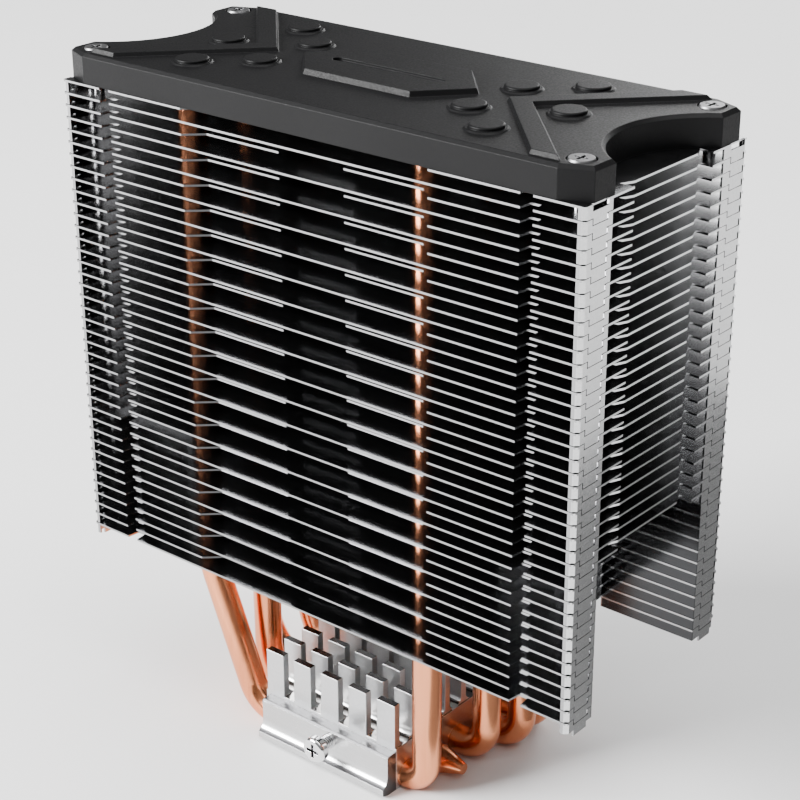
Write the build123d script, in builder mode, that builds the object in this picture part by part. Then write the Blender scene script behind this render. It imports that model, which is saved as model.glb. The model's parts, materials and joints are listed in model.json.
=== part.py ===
"""Tower cooler for a processor: a stack of folded aluminium fins on five copper heat pipes.

Millimetres, +Z up. The origin is the centre of the contact face that rests on the processor.
X runs along the fins' long side, and -Y is the side that the fan blows into.
"""

from build123d import *
import os
from math import radians, tan

os.makedirs("parts", exist_ok=True)

# Fin stack
FIN_COUNT = 40
FIN_PITCH = 2.54
FIN_THICK = 0.4
FIN_HALF_X = 63.0
FIN_HALF_Y = 25.5
STACK_TOP = 136.5
FLANGE_THICK = 0.4
FLANGE_SEAM = 0.14
FLANGE_DROP = FIN_PITCH - FLANGE_SEAM
COLUMN_LENGTH = 8.0
CORNER_CUT = 0.8
CORNER_LAP = 0.7
SHEET_CORNER_CUT = 0.3
WINDOW_Y = (-21.05, 22.2)
WINDOW_WIDTH = 4.7
WINDOW_DROP = 1.2
TONGUE_SHIFT_Y = -0.12
TONGUE_WIDTH = 4.0
TONGUE_DROP = 1.05
TONGUE_SLACK = 0.3
END_STEP = 1.7
END_NOTCH_Y = {-1: 11.2, 1: 13.9}
END_NOTCH_DEPTH = 2.9
END_NOTCH_UNDERCUT = 0.2
END_NOTCH_WIDTH = 2.6
CLIP_NOTCH_X = (49.8, 50.2, 52.2, 52.5)
CLIP_NOTCH_DEPTH = 2.8
WAVE_X = (30.1, 26.5, 8.0, 7.4)
WAVE_DEPTH = 3.3
CENTRE_DEPTH = 7.5
PLAIN_END_FINS = 28
POCKET_X = 41.2
POCKET_HALF_Y = 17.5

# Heat pipes: depth in the base, left and right leg, and the knee height of a slanted left leg
PIPE_RADIUS = 3.0
PIPE_FIT = 0.02
PIPE_AXIS_Z = 2.4
PIPE_PITCH = 8.25
PIPE_END_Z = 137.4
TIP_LENGTH = 3.2
TIP_RADIUS = 1.2
KNEE_RADIUS = 14.0
LEFT_LEGS = (-36.0, -28.2, -36.4, -30.5, -36.0)
RIGHT_LEGS = (23.1, None, 25.8, 28.8, 27.9)
LEFT_KNEES = (33.0, None, None, None, 26.0)
SLANT_FOOT_X = -23.5
SLANT_FOOT_RADIUS = 7.5
BEND_MARGIN = 0.3
LEFT_BEND_RADIUS = 12.5
RIGHT_BEND_RADIUS = 6.2
STUB_ROOT_X = 20.4
STUB_LENGTH = 5.9

# Base block with its pin field
BASE_HALF_X = 17.9
BASE_HALF_Y = 20.0
BASE_TOP = 9.8
PIN_TOP = 19.85
PIN_ROWS = 8
PIN_COLUMNS = 5
PIN_THICK = 1.6
PIN_WIDTH = 4.7
PIN_COLUMN_PITCH = 7.6
PIN_GAP_RADIUS = 1.6

# Clamp bars along the front and back of the base: one shape, turned round for the back
BAR_FACE_Y = 22.7
BAR_TOP = 9.15
BAR_END_X = (-16.7, 17.9)
BAR_LIP_Y = 24.2
BAR_LIP_TOP = 1.9
BAR_LIP_FOOT = 0.5
BAR_SWELL_TOP = 4.4
BAR_SWELL_MID = (0.35, 3.05)
BAR_BEVEL = 0.4

# Bracket screws in the clamp bars, off centre towards +X at the front and -X at the back
BRACKET_SCREW_X = 2.6
BRACKET_SCREW_Z = 7.2
BRACKET_THREAD_RADIUS = 1.4
BRACKET_HEAD_RADIUS = 2.8
BRACKET_HEAD_THICK = 1.9
BRACKET_HEAD_EDGE = 0.8
BRACKET_HEAD_Y = 26.6
BRACKET_DEPTH_Y = 18.4
BRACKET_HOLE_Y = 17.6
SCREW_FIT = 0.05
CROSS_SPAN = 3.2
CROSS_WIDTH = 0.7
CROSS_DEPTH = 0.9

# Top cover
COVER_HEIGHT = 6.1
COVER_WALL = 1.5
COVER_HALF_X = 62.8
COVER_HALF_Y = 25.3
COVER_CORNER = (57.0, 22.8)
COVER_BITE_HALF_Y = 16.8
COVER_BITE_X = 53.4
COVER_EDGE = 0.7
STUD_RING_RADIUS = 4.1
STUD_RING_HEIGHT = 0.3
STUD_RING_TAPER = 45
STUD_RADIUS = 3.3
STUD_HEIGHT = 0.95
STUD_EDGE = 0.35
STUDS = ((41.5, 0.0), (35.6, 16.2), (25.4, 7.9))
RIB_HEIGHT = 0.85
RIB_TAPER = 25
RIB_APEX_X = (27.9, 34.0)
RIB_END_X = (50.0, 56.4)
RIB_END_Y = 23.6
PANEL_HEIGHT = 1.1
PANEL_TAPER = 20
PANEL_HALF_X = (21.5, 13.0)
PANEL_HALF_Y = 9.6
PANEL_GROOVE = (27.0, 2.4)
PANEL_GROOVE_DEPTH = 0.6

# Cover screws
COVER_SCREW_AT = (58.3, 20.3)
COVER_HEAD_RADIUS = 2.6
COVER_HEAD_RECESS = 0.5
COVER_HEAD_THICK = 0.75
COVER_HEAD_TAPER = 25
COVER_HEAD_FIT = 0.1
COVER_CROSS_SPAN = 2.7
COVER_CROSS_WIDTH = 0.6
COVER_CROSS_DEPTH = 0.55
COVER_THREAD_RADIUS = 1.2
COVER_THREAD_DEPTH = 3.6
BOSS_RADIUS = 2.9

STACK_FLOOR = STACK_TOP - (FIN_COUNT - 1) * FIN_PITCH - FIN_THICK
PIPE_ROWS = [(index - 2) * PIPE_PITCH for index in range(5)]


def write(part, label):
    """Labels a finished piece and writes it as a STEP file of that name."""
    part.label = label
    export_step(part, f"parts/{label}.step")


def fin_quarter(side, waved, pocket):
    """Corner points of the front (side -1) or back (side 1) right quarter of a fin."""
    if waved:
        points = [
            (0, FIN_HALF_Y - CENTRE_DEPTH),
            (WAVE_X[3], FIN_HALF_Y - CENTRE_DEPTH),
            (WAVE_X[2], FIN_HALF_Y - WAVE_DEPTH),
            (WAVE_X[1], FIN_HALF_Y - WAVE_DEPTH),
            (WAVE_X[0], FIN_HALF_Y),
        ]
    else:
        points = [(0, FIN_HALF_Y)]
    points += [
        (CLIP_NOTCH_X[0], FIN_HALF_Y),
        (CLIP_NOTCH_X[1], FIN_HALF_Y - CLIP_NOTCH_DEPTH),
        (CLIP_NOTCH_X[2], FIN_HALF_Y - CLIP_NOTCH_DEPTH),
        (CLIP_NOTCH_X[3], FIN_HALF_Y),
        (FIN_HALF_X - SHEET_CORNER_CUT, FIN_HALF_Y),
        (FIN_HALF_X, FIN_HALF_Y - SHEET_CORNER_CUT),
    ]
    if pocket:
        points += [(FIN_HALF_X, POCKET_HALF_Y), (POCKET_X, POCKET_HALF_Y)]
    else:
        notch_y = END_NOTCH_Y[side]
        points += [
            (FIN_HALF_X, notch_y),
            (FIN_HALF_X - END_NOTCH_DEPTH, notch_y + END_NOTCH_UNDERCUT),
            (FIN_HALF_X - END_STEP, notch_y - END_NOTCH_WIDTH),
        ]
    return [(x, side * y) for x, y in points]


def fin_half(waved, pocket):
    """Corner points of the right half of a fin."""
    return fin_quarter(-1, waved, pocket) + fin_quarter(1, waved, pocket)[::-1]


def corner_flange():
    """Footprint of the folded flange that wraps one corner of a fin."""
    inner = FLANGE_THICK * tan(radians(22.5))
    edge_x, edge_y = FIN_HALF_X, FIN_HALF_Y
    return [
        (edge_x - CORNER_CUT - CORNER_LAP, -edge_y),
        (edge_x - CORNER_CUT, -edge_y),
        (edge_x, -(edge_y - CORNER_CUT)),
        (edge_x, -(edge_y - COLUMN_LENGTH)),
        (edge_x - FLANGE_THICK, -(edge_y - COLUMN_LENGTH)),
        (edge_x - FLANGE_THICK, -(edge_y - CORNER_CUT - inner)),
        (edge_x - CORNER_CUT - inner, -(edge_y - FLANGE_THICK)),
        (edge_x - CORNER_CUT - CORNER_LAP, -(edge_y - FLANGE_THICK)),
    ]


def quarter_face(points):
    """Draws a quarter outline and its mirror images in the current sketch."""
    Polygon(*points, align=None)
    mirror(about=Plane.YZ)
    mirror(about=Plane.XZ)


def pipe_holes():
    """Centres of the legs' holes through a fin."""
    legs = list(zip(LEFT_LEGS, PIPE_ROWS)) + list(zip(RIGHT_LEGS, PIPE_ROWS))
    return [(x, y) for x, y in legs if x is not None]


def corners(x, y):
    """The four points at x and y either side of the centre."""
    return [(sx * x, sy * y) for sx in (-1, 1) for sy in (-1, 1)]


def build_fin(level):
    """One fin. Level 0 is under the cover, and every second fin has a waved edge."""
    waved = level % 2 == 0
    pocket = level >= PLAIN_END_FINS
    top = STACK_TOP - level * FIN_PITCH
    end_x = FIN_HALF_X - FLANGE_THICK / 2
    with BuildPart() as fin:
        with BuildSketch(Plane.XY.offset(top - FIN_THICK)):
            Polygon(*fin_half(waved, pocket), align=None)
            mirror(about=Plane.YZ)
            with Locations(*pipe_holes()):
                Circle(PIPE_RADIUS + PIPE_FIT, mode=Mode.SUBTRACT)
            if level < 2:
                with Locations(*corners(*COVER_SCREW_AT)):
                    Circle(COVER_THREAD_RADIUS + SCREW_FIT, mode=Mode.SUBTRACT)
        extrude(amount=FIN_THICK)
        with BuildSketch(Plane.XY.offset(top - FLANGE_DROP)):
            quarter_face(corner_flange())
        extrude(amount=FLANGE_DROP)
        if pocket:
            with BuildSketch(Plane.XY.offset(top - FLANGE_DROP)):
                with Locations(*corners((FIN_HALF_X + POCKET_X) / 2, POCKET_HALF_Y + FLANGE_THICK / 2)):
                    Rectangle(FIN_HALF_X - POCKET_X, FLANGE_THICK)
            extrude(amount=FLANGE_DROP)
        with BuildSketch(Plane.XY.offset(top)):
            with Locations(*[(x, y) for x in (-end_x, end_x) for y in WINDOW_Y]):
                Rectangle(FLANGE_THICK, WINDOW_WIDTH)
        extrude(amount=-WINDOW_DROP, mode=Mode.SUBTRACT)
        with BuildSketch(Plane.XY.offset(top - FIN_PITCH - TONGUE_DROP)):
            with Locations(*[(x, y + TONGUE_SHIFT_Y) for x in (-end_x, end_x) for y in WINDOW_Y]):
                Rectangle(FLANGE_THICK, TONGUE_WIDTH)
        extrude(amount=FIN_PITCH + TONGUE_DROP - WINDOW_DROP - TONGUE_SLACK)
    return fin.part


for level in range(FIN_COUNT):
    write(build_fin(level), f"fin_{level + 1:02d}")


def pipe_route(left, right, knee):
    """Corner points and bend radii of a pipe's centre line, in X and Z."""
    if knee is None:
        points = [(left, PIPE_END_Z), (left, PIPE_AXIS_Z)]
        radii = [min(LEFT_BEND_RADIUS, -left - BASE_HALF_X - BEND_MARGIN)]
    else:
        points = [(left, PIPE_END_Z), (left, knee), (SLANT_FOOT_X, PIPE_AXIS_Z)]
        radii = [KNEE_RADIUS, SLANT_FOOT_RADIUS]
    if right is None:
        points += [(STUB_ROOT_X, PIPE_AXIS_Z)]
    else:
        points += [(right, PIPE_AXIS_Z), (right, PIPE_END_Z)]
        radii += [min(RIGHT_BEND_RADIUS, right - BASE_HALF_X - BEND_MARGIN)]
    return points, radii


def pipe_ends(left, right, y):
    """Plane and length of each tapered, sealed end."""
    ends = [(Plane((left, y, PIPE_END_Z)), TIP_LENGTH)]
    if right is None:
        stub_root = (STUB_ROOT_X, y, PIPE_AXIS_Z)
        return ends + [(Plane(stub_root, z_dir=(1, 0, 0)), STUB_LENGTH)]
    return ends + [(Plane((right, y, PIPE_END_Z)), TIP_LENGTH)]


def build_pipe(left, right, knee, y):
    """A bent pipe, ground flat where it touches the processor."""
    points, radii = pipe_route(left, right, knee)
    with BuildPart() as pipe:
        with BuildLine(Plane.XZ.offset(-y)) as route:
            FilletPolyline(*points, radius=radii)
        with BuildSketch(Plane.XY.offset(PIPE_END_Z)):
            with Locations((left, y)):
                Circle(PIPE_RADIUS)
        sweep(path=route.line)
        for plane, length in pipe_ends(left, right, y):
            with BuildSketch(plane):
                Circle(PIPE_RADIUS)
            with BuildSketch(plane.offset(length)):
                Circle(TIP_RADIUS)
            loft()
        with BuildSketch(Plane.XY):
            with Locations((0, y)):
                Rectangle(4 * FIN_HALF_X, 4 * PIPE_RADIUS)
        extrude(amount=-PIPE_RADIUS, mode=Mode.SUBTRACT)
    return pipe.part


for index, y in enumerate(PIPE_ROWS):
    piece = build_pipe(LEFT_LEGS[index], RIGHT_LEGS[index], LEFT_KNEES[index], y)
    write(piece, f"heat_pipe_{index + 1}")

# Base block: an extrusion with upright walls, sawn across into pins
wall_pitch = (2 * BASE_HALF_Y - PIN_THICK) / (PIN_ROWS - 1)
gap = wall_pitch - PIN_THICK
saw = PIN_COLUMN_PITCH - PIN_WIDTH
with BuildPart() as base_block:
    with BuildSketch(Plane.YZ.offset(-BASE_HALF_X)):
        with Locations((0, PIN_TOP / 2)):
            Rectangle(2 * BASE_HALF_Y, PIN_TOP)
        gaps = [(index - (PIN_ROWS - 2) / 2) * wall_pitch for index in range(PIN_ROWS - 1)]
        gap_height = PIN_TOP - BASE_TOP + 2 * PIN_GAP_RADIUS
        with Locations(*[(y, BASE_TOP + gap_height / 2) for y in gaps]):
            RectangleRounded(gap, gap_height, PIN_GAP_RADIUS, mode=Mode.SUBTRACT)
    extrude(amount=2 * BASE_HALF_X)
    with BuildSketch(Plane.YZ.offset(-BASE_HALF_X)):
        with Locations(*[(y, PIPE_AXIS_Z) for y in PIPE_ROWS]):
            Circle(PIPE_RADIUS + PIPE_FIT)
    extrude(amount=2 * BASE_HALF_X, mode=Mode.SUBTRACT)
    with BuildSketch(Plane.XY.offset(BASE_TOP)):
        with Locations(*[((index - 1.5) * PIN_COLUMN_PITCH, 0) for index in range(PIN_COLUMNS - 1)]):
            Rectangle(saw, 2 * BASE_HALF_Y)
    extrude(amount=PIN_TOP, mode=Mode.SUBTRACT)
    with BuildSketch(Plane.XY.offset(BASE_TOP)):
        edge_cut = BASE_HALF_X - 2 * PIN_COLUMN_PITCH - PIN_WIDTH / 2
        with GridLocations(2 * BASE_HALF_X - edge_cut, 0, 2, 1):
            Rectangle(edge_cut, 2 * BASE_HALF_Y)
    extrude(amount=PIN_TOP, mode=Mode.SUBTRACT)
    for side in (-1, 1):
        with BuildSketch(Plane.XZ.offset(-side * BRACKET_HOLE_Y)):
            with Locations((-side * BRACKET_SCREW_X, BRACKET_SCREW_Z)):
                Circle(BRACKET_THREAD_RADIUS + SCREW_FIT)
        extrude(amount=-side * BASE_HALF_Y, mode=Mode.SUBTRACT)
write(base_block.part, "base_block")


def build_bar(side):
    """A clamp bar on the front (side -1) or back (side 1) of the base."""
    face, lip = side * BAR_FACE_Y, side * BAR_LIP_Y
    start_x = min(-side * end for end in BAR_END_X)
    swell_mid = (side * (BAR_FACE_Y + BAR_SWELL_MID[0]), BAR_SWELL_MID[1])
    with BuildPart() as bar:
        with BuildSketch(Plane.YZ.offset(start_x)):
            with BuildLine():
                Polyline(
                    (lip, BAR_LIP_TOP),
                    (lip, BAR_LIP_FOOT),
                    (face, 0),
                    (side * BASE_HALF_Y, 0),
                    (side * BASE_HALF_Y, BAR_TOP),
                    (side * (BAR_FACE_Y - BAR_BEVEL), BAR_TOP),
                    (face, BAR_TOP - BAR_BEVEL),
                    (face, BAR_SWELL_TOP),
                )
                ThreePointArc((face, BAR_SWELL_TOP), swell_mid, (lip, BAR_LIP_TOP))
            make_face()
        extrude(amount=BAR_END_X[1] - BAR_END_X[0])
        with BuildSketch(Plane.XZ):
            with Locations((-side * BRACKET_SCREW_X, BRACKET_SCREW_Z)):
                Circle(BRACKET_THREAD_RADIUS + SCREW_FIT)
        extrude(amount=2 * BAR_LIP_Y, both=True, mode=Mode.SUBTRACT)
    return bar.part


def build_bracket_screw(side):
    """A cross-head screw standing part way out of its bar, where the bracket goes."""
    with BuildPart() as screw:
        with BuildSketch(Plane.XZ.offset(-side * BRACKET_DEPTH_Y)):
            with Locations((-side * BRACKET_SCREW_X, BRACKET_SCREW_Z)):
                Circle(BRACKET_THREAD_RADIUS)
        extrude(amount=-side * (BRACKET_HEAD_Y - BRACKET_DEPTH_Y))
        with BuildSketch(Plane.XZ.offset(-side * BRACKET_HEAD_Y)):
            with Locations((-side * BRACKET_SCREW_X, BRACKET_SCREW_Z)):
                Circle(BRACKET_HEAD_RADIUS)
        extrude(amount=-side * BRACKET_HEAD_THICK)
        outer = screw.faces().sort_by(Axis.Y)[-1 if side > 0 else 0]
        fillet(outer.edges(), BRACKET_HEAD_EDGE)
        face_y = BRACKET_HEAD_Y + BRACKET_HEAD_THICK
        with BuildSketch(Plane.XZ.offset(-side * (face_y - CROSS_DEPTH))):
            with Locations((-side * BRACKET_SCREW_X, BRACKET_SCREW_Z)):
                Rectangle(CROSS_SPAN, CROSS_WIDTH)
                Rectangle(CROSS_WIDTH, CROSS_SPAN)
        extrude(amount=-side * 2 * CROSS_DEPTH, mode=Mode.SUBTRACT)
    return screw.part


for side, name in ((-1, "front"), (1, "rear")):
    write(build_bar(side), f"clamp_bar_{name}")
    write(build_bracket_screw(side), f"bracket_screw_{name}")


# Outline of the cover, with a round bite out of each end
bite_sag = COVER_HALF_X - COVER_BITE_X
bite_radius = (COVER_BITE_HALF_Y ** 2 + bite_sag ** 2) / (2 * bite_sag)
bite_mid_y = COVER_BITE_HALF_Y / 2
bite_mid_x = COVER_BITE_X + bite_radius - (bite_radius ** 2 - bite_mid_y ** 2) ** 0.5
with BuildSketch() as cover_outline:
    with BuildLine():
        Polyline(
            (COVER_BITE_X, 0),
            (0, 0),
            (0, -COVER_HALF_Y),
            (COVER_CORNER[0], -COVER_HALF_Y),
            (COVER_HALF_X, -COVER_CORNER[1]),
            (COVER_HALF_X, -COVER_BITE_HALF_Y),
        )
        ThreePointArc(
            (COVER_HALF_X, -COVER_BITE_HALF_Y),
            (bite_mid_x, -bite_mid_y),
            (COVER_BITE_X, 0),
        )
    make_face()
    mirror(about=Plane.YZ)
    mirror(about=Plane.XZ)


rib = [(RIB_APEX_X[0], 0), (RIB_END_X[0], -RIB_END_Y), (RIB_END_X[1], -RIB_END_Y), (RIB_APEX_X[1], 0)]
cover_top = STACK_TOP + COVER_HEIGHT
with BuildPart() as top_cover:
    with BuildSketch(Plane.XY.offset(STACK_TOP)):
        add(cover_outline.sketch)
    extrude(amount=COVER_HEIGHT)
    chamfer(top_cover.faces().sort_by(Axis.Z)[-1].edges(), COVER_EDGE)
    with BuildSketch(Plane.XY.offset(STACK_TOP)):
        add(cover_outline.sketch)
        offset(amount=-COVER_WALL, kind=Kind.INTERSECTION, mode=Mode.REPLACE)
    extrude(amount=COVER_HEIGHT - COVER_WALL, mode=Mode.SUBTRACT)
    with BuildSketch(Plane.XY.offset(STACK_TOP)):
        with Locations(*corners(*COVER_SCREW_AT)):
            Circle(BOSS_RADIUS)
    extrude(amount=COVER_HEIGHT - COVER_WALL / 2)
    stud_spots = sorted({spot for stud in STUDS for spot in corners(*stud)})
    with BuildSketch(Plane.XY.offset(cover_top)):
        with Locations(*stud_spots):
            Circle(STUD_RING_RADIUS)
    extrude(amount=STUD_RING_HEIGHT, taper=STUD_RING_TAPER)
    with BuildSketch(Plane.XY.offset(cover_top)):
        with Locations(*stud_spots):
            Circle(STUD_RADIUS)
    extrude(amount=STUD_HEIGHT)
    fillet(top_cover.faces().group_by(Axis.Z)[-1].edges(), STUD_EDGE)
    with BuildSketch(Plane.XY.offset(cover_top)):
        quarter_face(rib)
    extrude(amount=RIB_HEIGHT, taper=RIB_TAPER)
    with BuildSketch(Plane.XY.offset(cover_top)):
        wide, narrow = PANEL_HALF_X
        Polygon(
            (wide, 0), (narrow, PANEL_HALF_Y), (-narrow, PANEL_HALF_Y),
            (-wide, 0), (-narrow, -PANEL_HALF_Y), (narrow, -PANEL_HALF_Y),
            align=None,
        )
    extrude(amount=PANEL_HEIGHT, taper=PANEL_TAPER)
    with BuildSketch(Plane.XY.offset(cover_top + PANEL_HEIGHT)):
        SlotOverall(*PANEL_GROOVE)
    extrude(amount=-PANEL_GROOVE_DEPTH, mode=Mode.SUBTRACT)
    with BuildSketch(Plane.XY.offset(cover_top - COVER_HEAD_RECESS)):
        with Locations(*corners(*COVER_SCREW_AT)):
            Circle(COVER_HEAD_RADIUS + COVER_HEAD_FIT)
    extrude(amount=2 * COVER_HEAD_RECESS, mode=Mode.SUBTRACT)
    with BuildSketch(Plane.XY.offset(STACK_TOP)):
        with Locations(*corners(*COVER_SCREW_AT)):
            Circle(COVER_THREAD_RADIUS + SCREW_FIT)
    extrude(amount=COVER_HEIGHT, mode=Mode.SUBTRACT)
write(top_cover.part, "top_cover")

head_floor = cover_top - COVER_HEAD_RECESS
with BuildPart() as cover_screws:
    with BuildSketch(Plane.XY.offset(STACK_TOP - COVER_THREAD_DEPTH)):
        with Locations(*corners(*COVER_SCREW_AT)):
            Circle(COVER_THREAD_RADIUS)
    extrude(amount=COVER_THREAD_DEPTH + COVER_HEIGHT - COVER_HEAD_RECESS)
    with BuildSketch(Plane.XY.offset(head_floor)):
        with Locations(*corners(*COVER_SCREW_AT)):
            Circle(COVER_HEAD_RADIUS)
    extrude(amount=COVER_HEAD_THICK, taper=COVER_HEAD_TAPER)
    with BuildSketch(Plane.XY.offset(head_floor + COVER_HEAD_THICK)):
        with Locations(*corners(*COVER_SCREW_AT)):
            Rectangle(COVER_CROSS_SPAN, COVER_CROSS_WIDTH)
            Rectangle(COVER_CROSS_WIDTH, COVER_CROSS_SPAN)
    extrude(amount=-COVER_CROSS_DEPTH, mode=Mode.SUBTRACT)
write(cover_screws.part, "cover_screws")
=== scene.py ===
import json
import math

import bmesh
import bpy
from mathutils import Matrix, Vector


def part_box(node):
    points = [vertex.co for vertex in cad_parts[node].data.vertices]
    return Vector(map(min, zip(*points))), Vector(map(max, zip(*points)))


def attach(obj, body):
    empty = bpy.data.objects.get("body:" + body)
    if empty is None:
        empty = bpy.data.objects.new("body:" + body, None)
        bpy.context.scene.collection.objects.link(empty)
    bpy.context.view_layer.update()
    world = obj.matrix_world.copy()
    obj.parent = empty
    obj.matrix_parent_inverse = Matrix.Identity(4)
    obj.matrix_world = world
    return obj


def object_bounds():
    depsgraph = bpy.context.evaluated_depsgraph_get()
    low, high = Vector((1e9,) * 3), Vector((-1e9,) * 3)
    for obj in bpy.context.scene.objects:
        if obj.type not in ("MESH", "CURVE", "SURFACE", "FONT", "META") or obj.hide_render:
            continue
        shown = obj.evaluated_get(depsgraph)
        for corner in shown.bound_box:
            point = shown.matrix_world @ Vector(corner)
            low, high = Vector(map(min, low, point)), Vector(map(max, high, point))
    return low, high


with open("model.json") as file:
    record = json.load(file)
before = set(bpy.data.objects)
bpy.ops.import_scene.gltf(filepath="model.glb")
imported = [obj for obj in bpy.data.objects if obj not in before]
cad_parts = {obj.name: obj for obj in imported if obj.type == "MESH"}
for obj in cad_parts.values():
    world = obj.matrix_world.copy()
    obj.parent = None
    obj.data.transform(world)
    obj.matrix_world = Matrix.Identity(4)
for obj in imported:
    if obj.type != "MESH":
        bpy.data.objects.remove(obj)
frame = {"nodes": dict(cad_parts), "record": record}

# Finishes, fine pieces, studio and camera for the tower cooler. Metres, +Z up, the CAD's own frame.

MM = 0.001
cad_low, cad_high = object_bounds()

# Camera: place, turn about Z, tilt below the horizon, roll, and lens for a 36 mm sensor
CAMERA_AT = (0.2353, -0.2809, 0.2404)
CAMERA_TURN = 39.63
CAMERA_TILT = -24.22
CAMERA_ROLL = -0.175
CAMERA_LENS = 89.56
CAMERA_CLIP = (0.01, 20)

# Bracket screws: a head's thickness, and how far a bar's box reaches past the face beside its screw
SCREW_HEAD = 1.9 * MM
BAR_SWELL = 1.5 * MM

# Rolled thread on the bracket screws: ends, pitch, points in a turn, radii, and half its width at
# the foot and the crest
THREAD_MARGIN = 0.35 * MM
THREAD_PITCH = 0.5 * MM
THREAD_STEPS = 28
THREAD_ROOT = 1.4 * MM
THREAD_CREST = 1.58 * MM
THREAD_SINK = 0.1 * MM
THREAD_FOOT_HALF = 0.42 * THREAD_PITCH
THREAD_TIP_HALF = 0.1 * THREAD_PITCH

# Fin stack, its pitch to the micrometre, and the pockets in its lower fins
STACK_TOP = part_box("fin_01")[1].z
FIN_PITCH = round(STACK_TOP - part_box("fin_02")[1].z, 6)
FIN_THICK = 0.4 * MM
POCKET_END_X = 41.5 * MM
POCKET_WALL_Y = 17.7 * MM
POCKET_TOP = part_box("fin_29")[1].z - FIN_THICK / 2
# Painted shade on the folded walls beside the pockets
POCKET_PAINTED_SHADE = (0.045, 0.046, 0.048)

# How much of a face's normal lies along an axis: any face that looks along it, the fins' sheared
# front and back edges, and these together with the slanted edges of the waved fins
FACING = 0.7
FRONT_FACING = 0.9
SLANT_FACING = 0.72
# Painted shade for the fins' edges: a darker grey on the front and back edges, and a much darker
# one on the slanted edges
FRONT_EDGE_PAINTED_SHADE = (0.33, 0.33, 0.335)
SLANT_EDGE_PAINTED_SHADE = (0.075, 0.075, 0.077)

# The other metals: painted shade on the base's level faces, the bar's top and end faces and the
# cover screws' heads, and painted shade in the screws' recesses
BASE_LEVEL_PAINTED_SHADE = (0.17, 0.165, 0.16)
BAR_TOP_END_PAINTED_SHADE = (0.09, 0.09, 0.093)
COVER_HEAD_PAINTED_SHADE = (0.20, 0.20, 0.204)
HEAD_ROUGHNESS = (0.42, 0.42, 0.42)
RECESS_PAINTED_SHADE = (0.05, 0.05, 0.052)
RECESS_REACH = 0.9 * MM
COVER_SPECULAR = 0.12

# Texture and shading quality
NOISE_ROUGHNESS = 0.55
RECESS_SAMPLES = 8
BEVEL_SAMPLES = 6

# Studio: the floor, the flag on it, which is a painted shadow seen only in reflections, the sky
# from horizon to zenith, and the lights, each with its place, size and power
FLOOR_HALF = 3.0
FLOOR_DROP = 0.05 * MM
FLAG_PAINTED_SHADOW = (0.16, 0.16, 0.16)
FLAG_RISE = 0.2 * MM
FLAG_NEAR = (0.042, -0.035)
FLAG_FAR = (0.17, 0.20)
SKY_STRENGTH = 1.0
SKY_STOPS = [(0.0, 0.10), (0.25, 0.14), (0.6, 0.34), (1.0, 0.55)]
SOFTBOXES = {
    "key_front_left": ((-0.95, -1.2, 0.8), (0.9, 0.6), 115),
    "top": ((0.35, 0.1, 1.7), (1.5, 1.5), 34),
    "low_back": ((-0.45, 1.4, 0.5), (0.7, 0.5), 9),
}
PIPE_STRIP = ((-0.028, -0.085, 0.016), (0.085, 0.026), 0.9)

# Colour sockets of Blender's Mix node
MIX_FIRST = 6
MIX_SECOND = 7
MIX_RESULT = 2


# ---------------------------------------------------------------- materials

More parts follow.
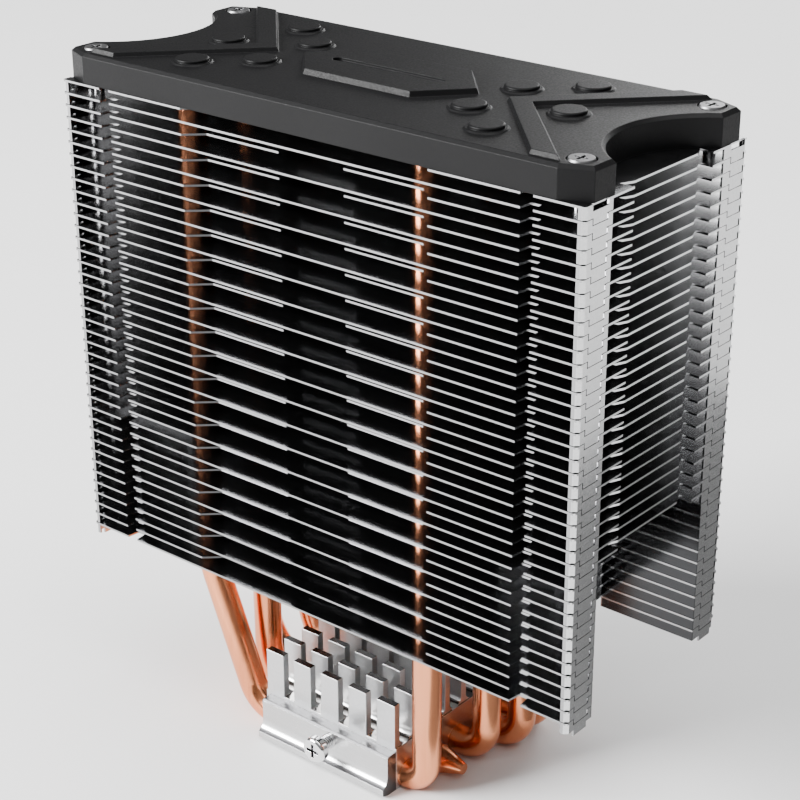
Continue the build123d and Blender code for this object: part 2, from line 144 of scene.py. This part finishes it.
class Nodes:
    """A material's node tree, with a short way to add and link nodes."""

    def __init__(self, name, metallic, roughness):
        self.material = bpy.data.materials.new(name)
        self.material.use_nodes = True
        self.tree = self.material.node_tree
        self.shader = self.tree.nodes["Principled BSDF"]
        self.shader.inputs["Metallic"].default_value = metallic
        self.shader.inputs["Roughness"].default_value = roughness

    def add(self, kind, **values):
        node = self.tree.nodes.new(kind)
        for key, value in values.items():
            setattr(node, key, value)
        return node

    def link(self, source, target):
        self.tree.links.new(source, target)

    def place(self, stretch):
        """Object coordinates, stretched along each axis."""
        spot = self.add("ShaderNodeTexCoord")
        mapping = self.add("ShaderNodeMapping")
        mapping.inputs["Scale"].default_value = stretch
        self.link(spot.outputs["Object"], mapping.inputs["Vector"])
        return mapping.outputs["Vector"]

    def noise(self, stretch, scale, detail=3.0):
        """Noise fixed to the piece, stretched along each axis."""
        node = self.add("ShaderNodeTexNoise")
        node.inputs["Scale"].default_value = scale
        node.inputs["Detail"].default_value = detail
        node.inputs["Roughness"].default_value = NOISE_ROUGHNESS
        self.link(self.place(stretch), node.inputs["Vector"])
        return node.outputs["Fac"]

    def ramp(self, factor, stops):
        """A colour ramp through stops, each a place and a grey or a colour."""
        node = self.add("ShaderNodeValToRGB")
        elements = node.color_ramp.elements
        while len(elements) < len(stops):
            elements.new(0.5)
        for element, (place, colour) in zip(elements, stops):
            element.position = place
            grey = isinstance(colour, (int, float))
            element.color = (colour,) * 3 + (1,) if grey else tuple(colour) + (1,)
        self.link(factor, node.inputs["Fac"])
        return node.outputs["Color"]

    def mix(self, factor, first, second):
        """First where factor is 0, second where it is 1. Either is a colour or an output."""
        node = self.add("ShaderNodeMix", data_type="RGBA")
        self.link(factor, node.inputs["Factor"])
        for index, value in ((MIX_FIRST, first), (MIX_SECOND, second)):
            if isinstance(value, tuple):
                node.inputs[index].default_value = value + (1,)
            else:
                self.link(value, node.inputs[index])
        return node.outputs[MIX_RESULT]

    def colour(self, output):
        self.link(output, self.shader.inputs["Base Color"])

    def gloss(self, output):
        self.link(output, self.shader.inputs["Roughness"])

    def bump(self, height, distance, strength, over=None):
        """Fine relief, over a normal that is already shaded if there is one."""
        node = self.add("ShaderNodeBump")
        node.inputs["Strength"].default_value = strength
        node.inputs["Distance"].default_value = distance
        self.link(height, node.inputs["Height"])
        if over is not None:
            self.link(over, node.inputs["Normal"])
        self.link(node.outputs["Normal"], self.shader.inputs["Normal"])

    def math(self, operation, first, second):
        """One operation of Blender's Math node on two outputs or numbers."""
        node = self.add("ShaderNodeMath", operation=operation)
        for socket, value in zip(node.inputs, (first, second)):
            if isinstance(value, (int, float)):
                socket.default_value = value
            else:
                self.link(value, socket)
        return node.outputs[0]

    def above(self, value, limit):
        """1 where the value is over the limit, 0 elsewhere."""
        return self.math("GREATER_THAN", value, limit)

    def magnitude(self, value):
        return self.math("ABSOLUTE", value, 0.0)

    def axes(self, output):
        """The X, Y and Z of a vector output."""
        split = self.add("ShaderNodeSeparateXYZ")
        self.link(output, split.inputs["Vector"])
        return split.outputs["X"], split.outputs["Y"], split.outputs["Z"]

    def here(self):
        """The X, Y and Z of the shaded point, in the part's own frame."""
        return self.axes(self.add("ShaderNodeTexCoord").outputs["Object"])

    def recesses(self, distance):
        """0 deep in recesses, 1 on open surfaces."""
        node = self.add("ShaderNodeAmbientOcclusion", samples=RECESS_SAMPLES, only_local=True)
        node.inputs["Distance"].default_value = distance
        return node.outputs["AO"]

    def facing(self, axis, least=FACING):
        """1 on faces that look along axis 0, 1 or 2, either way, and 0 on the rest."""
        geometry = self.add("ShaderNodeNewGeometry")
        normal = self.axes(geometry.outputs["True Normal"])[axis]
        return self.above(self.magnitude(normal), least)

    def pocket_walls(self):
        """1 on the folded walls beside the pockets, below each fin's own bright edge, where the
        sheet gets painted shade.
        """
        x, y, z = self.here()
        beyond = self.above(self.magnitude(x), POCKET_END_X)
        within = self.math("LESS_THAN", self.magnitude(y), POCKET_WALL_Y)
        low = self.math("LESS_THAN", z, POCKET_TOP)
        level = self.math("MODULO", self.math("SUBTRACT", STACK_TOP, z), FIN_PITCH)
        below_edge = self.above(level, FIN_THICK)
        wall = self.math("MULTIPLY", beyond, within)
        return self.math("MULTIPLY", wall, self.math("MULTIPLY", low, below_edge))

    def round_edges(self, radius):
        """Shades edges as if rounded, and returns the normal."""
        node = self.add("ShaderNodeBevel", samples=BEVEL_SAMPLES)
        node.inputs["Radius"].default_value = radius
        self.link(node.outputs["Normal"], self.shader.inputs["Normal"])
        return node.outputs["Normal"]


def fin_sheet():
    """Rolled aluminium sheet, mirror-like: painted shade darkens the level faces, the front and
    back edges, the slanted edges and the pocket walls, while the other sheared edges and folded
    flanges keep a bright grey.
    """
    m = Nodes("fin_aluminium_sheet", 1.0, 0.2)
    flat = m.facing(2)
    rolled = m.noise((0.12, 1, 1), 2200)
    cloudy = m.noise((1, 1, 1), 60)
    # Painted shade: the level faces are a far darker copy of the sheet, so the gaps between the
    # fins read dark
    face = m.ramp(cloudy, [(0.3, (0.13, 0.132, 0.137)), (0.7, (0.20, 0.202, 0.208))])
    edge = m.ramp(rolled, [(0.3, (0.56, 0.565, 0.57)), (0.7, (0.66, 0.66, 0.665))])
    # Painted shade on the edges: front and back edges darker, slanted edges darker still, than the
    # other edges
    front = m.mix(m.facing(1, FRONT_FACING), SLANT_EDGE_PAINTED_SHADE, FRONT_EDGE_PAINTED_SHADE)
    upright = m.mix(m.facing(1, SLANT_FACING), edge, front)
    # Painted shade on the pocket walls, laid over the level faces and the edges
    m.colour(m.mix(m.pocket_walls(), m.mix(flat, upright, face), POCKET_PAINTED_SHADE))
    face_gloss = m.ramp(rolled, [(0.3, 0.20), (0.7, 0.27)])
    edge_gloss = m.ramp(rolled, [(0.3, 0.14), (0.7, 0.20)])
    m.gloss(m.mix(flat, edge_gloss, face_gloss))
    m.bump(rolled, 0.004 * MM, 0.15)
    return m.material


def pipe_copper():
    """Drawn copper, polished along the pipe, with faint warm and dull patches."""
    m = Nodes("pipe_copper_satin", 1.0, 0.25)
    streak = m.noise((1, 1, 0.05), 1100, 4)
    cloud = m.noise((1, 1, 0.4), 55, 2)
    base = m.ramp(cloud, [(0.3, (0.80, 0.285, 0.13)), (0.7, (0.88, 0.35, 0.175))])
    streaked = m.ramp(cloud, [(0.3, (0.62, 0.19, 0.08)), (0.7, (0.74, 0.255, 0.12))])
    m.colour(m.mix(m.ramp(streak, [(0.45, 0.0), (0.7, 0.35)]), base, streaked))
    m.gloss(m.ramp(streak, [(0.3, 0.17), (0.75, 0.27)]))
    m.bump(streak, 0.004 * MM, 0.25)
    return m.material


def base_metal():
    """Sawn and tumbled aluminium with fine saw lines across the pins."""
    m = Nodes("base_aluminium_sawn", 1.0, 0.3)
    sawn = m.noise((1, 0.1, 1), 1500, 3)
    grain = m.noise((1, 1, 1), 2400, 2)
    upright = m.ramp(sawn, [(0.3, (0.58, 0.585, 0.59)), (0.7, (0.64, 0.64, 0.645))])
    # Painted shade: the base's level faces, the pin tops among them, are a far darker copy of the
    # metal
    m.colour(m.mix(m.facing(2), upright, BASE_LEVEL_PAINTED_SHADE))
    upright_gloss = m.ramp(grain, [(0.3, 0.29), (0.7, 0.36)])
    m.gloss(m.mix(m.facing(2), upright_gloss, m.ramp(sawn, [(0.3, 0.12), (0.7, 0.20)])))
    m.bump(sawn, 0.0015 * MM, 0.2, over=m.round_edges(0.2 * MM))
    return m.material


def bar_metal():
    """Extruded aluminium with die lines along the bar."""
    m = Nodes("bar_aluminium_extruded", 1.0, 0.3)
    die_lines = m.noise((0.02, 1, 1), 5000, 2)
    grain = m.noise((1, 1, 1), 3000, 2)
    upright = m.ramp(die_lines, [(0.3, (0.54, 0.54, 0.545)), (0.7, (0.60, 0.60, 0.60))])
    # Painted shade: the mask named sawn picks the bar's top and end faces, which get a far darker
    # copy of the metal
    sawn = m.math("MAXIMUM", m.facing(2), m.facing(0))
    m.colour(m.mix(sawn, upright, BAR_TOP_END_PAINTED_SHADE))
    upright_gloss = m.ramp(grain, [(0.3, 0.27), (0.7, 0.34)])
    m.gloss(m.mix(sawn, upright_gloss, m.ramp(grain, [(0.3, 0.34), (0.7, 0.42)])))
    m.bump(grain, 0.0005 * MM, 0.1, over=m.round_edges(0.2 * MM))
    return m.material


def cover_plastic():
    """Charcoal moulded plastic with a fine spark-eroded grain."""
    m = Nodes("cover_plastic_textured", 0.0, 0.5)
    m.shader.inputs["Specular IOR Level"].default_value = COVER_SPECULAR
    grain = m.noise((1, 1, 1), 2600, 2)
    flow = m.noise((1, 1, 1), 35, 3)
    m.colour(m.ramp(flow, [(0.3, (0.0035, 0.0035, 0.0038)), (0.7, (0.0050, 0.0050, 0.0053))]))
    m.gloss(m.ramp(grain, [(0.3, 0.40), (0.7, 0.54)]))
    m.bump(grain, 0.03 * MM, 0.5, over=m.round_edges(0.25 * MM))
    return m.material


def screw_steel():
    """Bright plated steel with faint turning marks."""
    m = Nodes("screw_steel_plated", 1.0, 0.15)
    marks = m.noise((1, 1, 1), 1400, 3)
    bright = m.ramp(marks, [(0.3, (0.74, 0.74, 0.75)), (0.7, (0.86, 0.86, 0.87))])
    # Painted shade in the screws' recesses, from an occlusion mask
    open_faces = m.ramp(m.recesses(RECESS_REACH), [(0.45, 0.0), (0.9, 1.0)])
    # Painted shade: the cover screws' heads, above the fin stack, are a darker copy of the steel
    cover_head = m.above(m.here()[2], STACK_TOP)
    steel_and_head_shade = m.mix(cover_head, bright, COVER_HEAD_PAINTED_SHADE)
    m.colour(m.mix(open_faces, RECESS_PAINTED_SHADE, steel_and_head_shade))
    m.gloss(m.mix(cover_head, m.ramp(marks, [(0.3, 0.09), (0.7, 0.17)]), HEAD_ROUGHNESS))
    m.bump(marks, 0.002 * MM, 0.2, over=m.round_edges(0.15 * MM))
    return m.material


SLOT_MAKERS = {
    "fin_aluminium": fin_sheet,
    "pipe_copper": pipe_copper,
    "base_aluminium": base_metal,
    "bar_aluminium": bar_metal,
    "cover_plastic": cover_plastic,
    "screw_steel": screw_steel,
}
materials = {slot: make() for slot, make in SLOT_MAKERS.items()}

for subpart in frame["record"]["subparts"]:
    node = frame["nodes"][subpart["node"]]
    node.data.materials.clear()
    node.data.materials.append(materials[subpart["material_slot"]])


# ------------------------------------------------------------------ threads

def thread(screw, side):
    """The rolled thread on the bare stretch of a bracket screw, between its bar and its head."""
    low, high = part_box(f"bracket_screw_{screw}")
    bar_low, bar_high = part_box(f"clamp_bar_{screw}")
    centre_x, centre_z = (low.x + high.x) / 2, (low.z + high.z) / 2
    head_y = (high.y if side > 0 else low.y) - side * SCREW_HEAD
    face_y = (bar_high.y if side > 0 else bar_low.y) - side * BAR_SWELL
    start, length = face_y + side * THREAD_MARGIN, abs(head_y - face_y) - 2 * THREAD_MARGIN
    steps = int(length / THREAD_PITCH * THREAD_STEPS)
    mesh_form = bmesh.new()
    rings = []
    for step in range(steps + 1):
        turn = 2 * math.pi * step / THREAD_STEPS
        swell = min(1.0, step / THREAD_STEPS, (steps - step) / THREAD_STEPS)
        crest = THREAD_ROOT + (THREAD_CREST - THREAD_ROOT) * swell
        middle = start + side * length * step / steps
        foot = THREAD_ROOT - THREAD_SINK
        profile = [(foot, -THREAD_FOOT_HALF), (crest, -THREAD_TIP_HALF)]
        profile += [(crest, THREAD_TIP_HALF), (foot, THREAD_FOOT_HALF)]
        ring = []
        for radius, along in profile:
            spot = (
                centre_x + radius * math.cos(turn),
                middle + along,
                centre_z + radius * math.sin(turn),
            )
            ring.append(mesh_form.verts.new(spot))
        rings.append(ring)
    for first, second in zip(rings, rings[1:]):
        for corner in range(len(profile)):
            after = (corner + 1) % len(profile)
            mesh_form.faces.new((first[corner], first[after], second[after], second[corner]))
    mesh_form.faces.new(rings[0][::-1])
    mesh_form.faces.new(rings[-1])
    bmesh.ops.recalc_face_normals(mesh_form, faces=mesh_form.faces)
    mesh = bpy.data.meshes.new(f"bracket_thread_{screw}")
    mesh_form.to_mesh(mesh)
    mesh_form.free()
    mesh.materials.append(materials["screw_steel"])
    piece = bpy.data.objects.new(f"bracket_thread_{screw}", mesh)
    bpy.context.scene.collection.objects.link(piece)
    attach(piece, f"{screw}_screw")


for screw, side in (("front", -1), ("rear", 1)):
    thread(screw, side)


# ------------------------------------------------------------------- studio

def floor():
    """A pale floor under the cooler."""
    m = Nodes("studio_floor", 0.0, 0.8)
    m.colour(m.ramp(m.noise((1, 1, 1), 8, 2), [(0.3, 0.84), (0.7, 0.86)]))
    mesh = bpy.data.meshes.new("studio_floor")
    h = FLOOR_HALF
    mesh.from_pydata([(-h, -h, 0), (h, -h, 0), (h, h, 0), (-h, h, 0)], [], [(0, 1, 2, 3)])
    mesh.materials.append(m.material)
    plane = bpy.data.objects.new("studio_floor", mesh)
    plane.location.z = cad_low.z - FLOOR_DROP
    bpy.context.scene.collection.objects.link(plane)


def softbox(name, place, size, power):
    """A rectangular area light at place, aimed at the middle of the cooler."""
    light = bpy.data.lights.new(name, "AREA")
    light.shape = "RECTANGLE"
    light.size, light.size_y = size
    light.energy = power
    lamp = bpy.data.objects.new(name, light)
    lamp.location = place
    aim = (cad_low + cad_high) / 2 - Vector(place)
    lamp.rotation_euler = aim.to_track_quat("-Z", "Y").to_euler()
    bpy.context.scene.collection.objects.link(lamp)


def reflector(name, place, size, power):
    """A small upright light in front of the pipes, which shows only where gloss mirrors it."""
    light = bpy.data.lights.new(name, "AREA")
    light.shape = "RECTANGLE"
    light.size, light.size_y = size
    light.energy = power
    lamp = bpy.data.objects.new(name, light)
    lamp.location = place
    lamp.rotation_euler = (math.radians(90), 0, math.radians(180))
    lamp.visible_camera = False
    lamp.visible_diffuse = False
    lamp.visible_shadow = False
    bpy.context.scene.collection.objects.link(lamp)


def flag(name, near, far):
    """A painted shadow: a dark card flat on the floor beside the cooler, which shows only where
    gloss mirrors it.
    """
    m = Nodes("painted_shadow_card", 0.0, 0.9)
    m.shader.inputs["Base Color"].default_value = FLAG_PAINTED_SHADOW + (1,)
    mesh = bpy.data.meshes.new(name)
    (left, front), (right, back) = near, far
    corners = [(left, front, 0), (right, front, 0), (right, back, 0), (left, back, 0)]
    mesh.from_pydata(corners, [], [(0, 1, 2, 3)])
    mesh.materials.append(m.material)
    card = bpy.data.objects.new(name, mesh)
    card.location.z = cad_low.z + FLAG_RISE
    card.visible_camera = False
    card.visible_diffuse = False
    card.visible_shadow = False
    bpy.context.scene.collection.objects.link(card)


def sky():
    """A plain soft surround, dim at the horizon and bright overhead."""
    world = bpy.data.worlds.new("studio")
    world.use_nodes = True
    tree = world.node_tree
    way = tree.nodes.new("ShaderNodeTexCoord")
    split = tree.nodes.new("ShaderNodeSeparateXYZ")
    ramp = tree.nodes.new("ShaderNodeValToRGB")
    elements = ramp.color_ramp.elements
    while len(elements) < len(SKY_STOPS):
        elements.new(0.5)
    for element, (place, grey) in zip(elements, SKY_STOPS):
        element.position = place
        element.color = (grey, grey, grey, 1)
    background = tree.nodes["Background"]
    background.inputs["Strength"].default_value = SKY_STRENGTH
    tree.links.new(way.outputs["Generated"], split.inputs["Vector"])
    tree.links.new(split.outputs["Z"], ramp.inputs["Fac"])
    tree.links.new(ramp.outputs["Color"], background.inputs["Color"])
    bpy.context.scene.world = world


def camera():
    """The camera, turned by its heading, tilt and roll."""
    data = bpy.data.cameras.new("camera")
    data.lens = CAMERA_LENS
    data.clip_start, data.clip_end = CAMERA_CLIP
    cam = bpy.data.objects.new("camera", data)
    turn = Matrix.Rotation(math.radians(CAMERA_TURN), 4, "Z")
    tilt = Matrix.Rotation(math.radians(90 + CAMERA_TILT), 4, "X")
    roll = Matrix.Rotation(math.radians(CAMERA_ROLL), 4, "Z")
    cam.matrix_world = Matrix.Translation(CAMERA_AT) @ turn @ tilt @ roll
    bpy.context.scene.collection.objects.link(cam)
    bpy.context.scene.camera = cam


floor()
sky()
for light_name, settings in SOFTBOXES.items():
    softbox(light_name, *settings)
reflector("pipe_strip", *PIPE_STRIP)
flag("painted_shadow_flag", FLAG_NEAR, FLAG_FAR)
camera()
